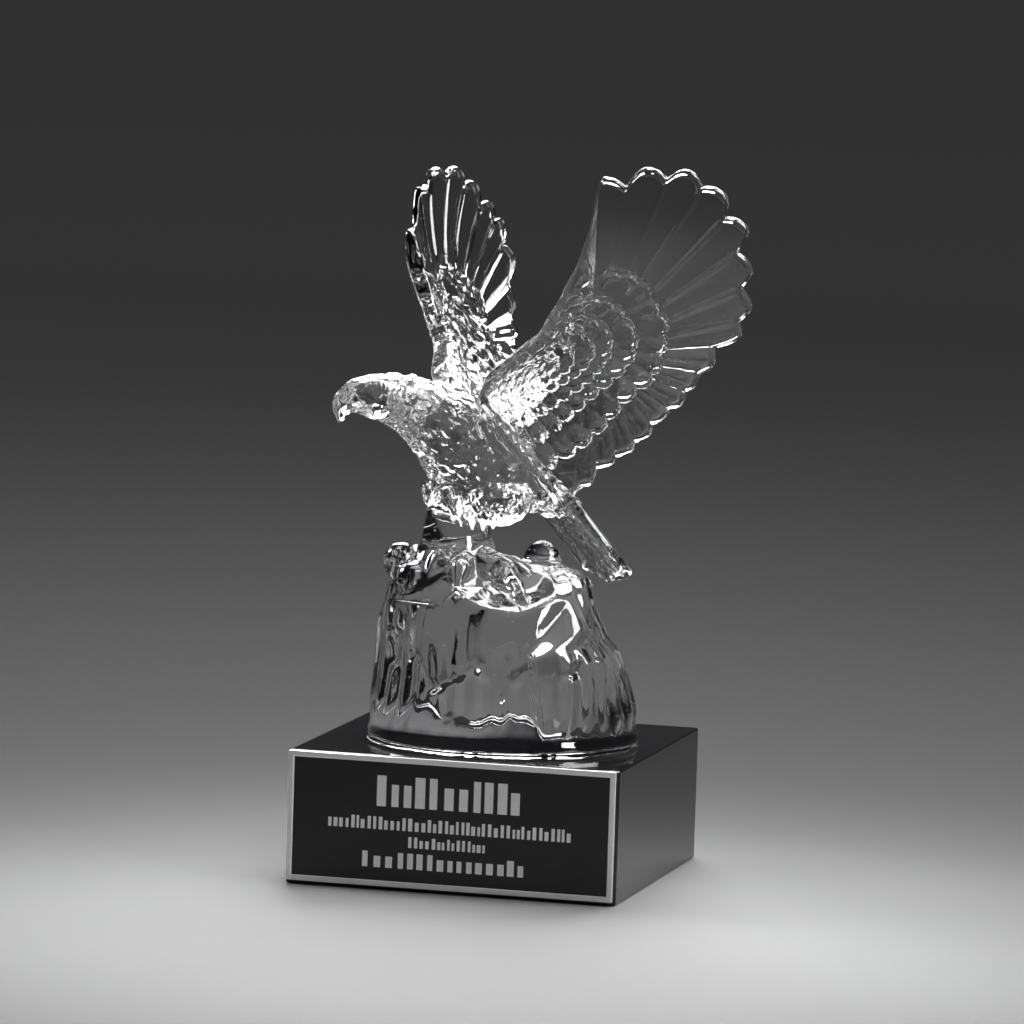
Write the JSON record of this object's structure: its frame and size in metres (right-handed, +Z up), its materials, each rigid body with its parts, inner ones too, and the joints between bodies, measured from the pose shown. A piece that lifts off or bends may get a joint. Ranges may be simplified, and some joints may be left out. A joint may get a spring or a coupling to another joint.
{
  "type": "crystal eagle award",
  "caption": "Clear crystal eagle with raised wings, landing on a crystal crag that stands on a square black glass block with a bordered metal name plate.",
  "frame": {"origin": "centre of the block's underside", "axes": "+Z up, the name plate faces -Y, +X to the right seen from the plate; the eagle faces the corner between -X and -Y"},
  "size_m": [0.1446, 0.1437, 0.2411],
  "materials": {
    "clear_crystal": "clear, fire polished, lightly textured on the feathers",
    "black_glass": "black, polished, with fine bevelled edges",
    "plate_metal": "satin silver border round a black field"
  },
  "bodies": {
    "root": {"eagle_on_rock": "clear_crystal", "black_base": "black_glass", "name_plate": "plate_metal"}
  },
  "joints": []
}
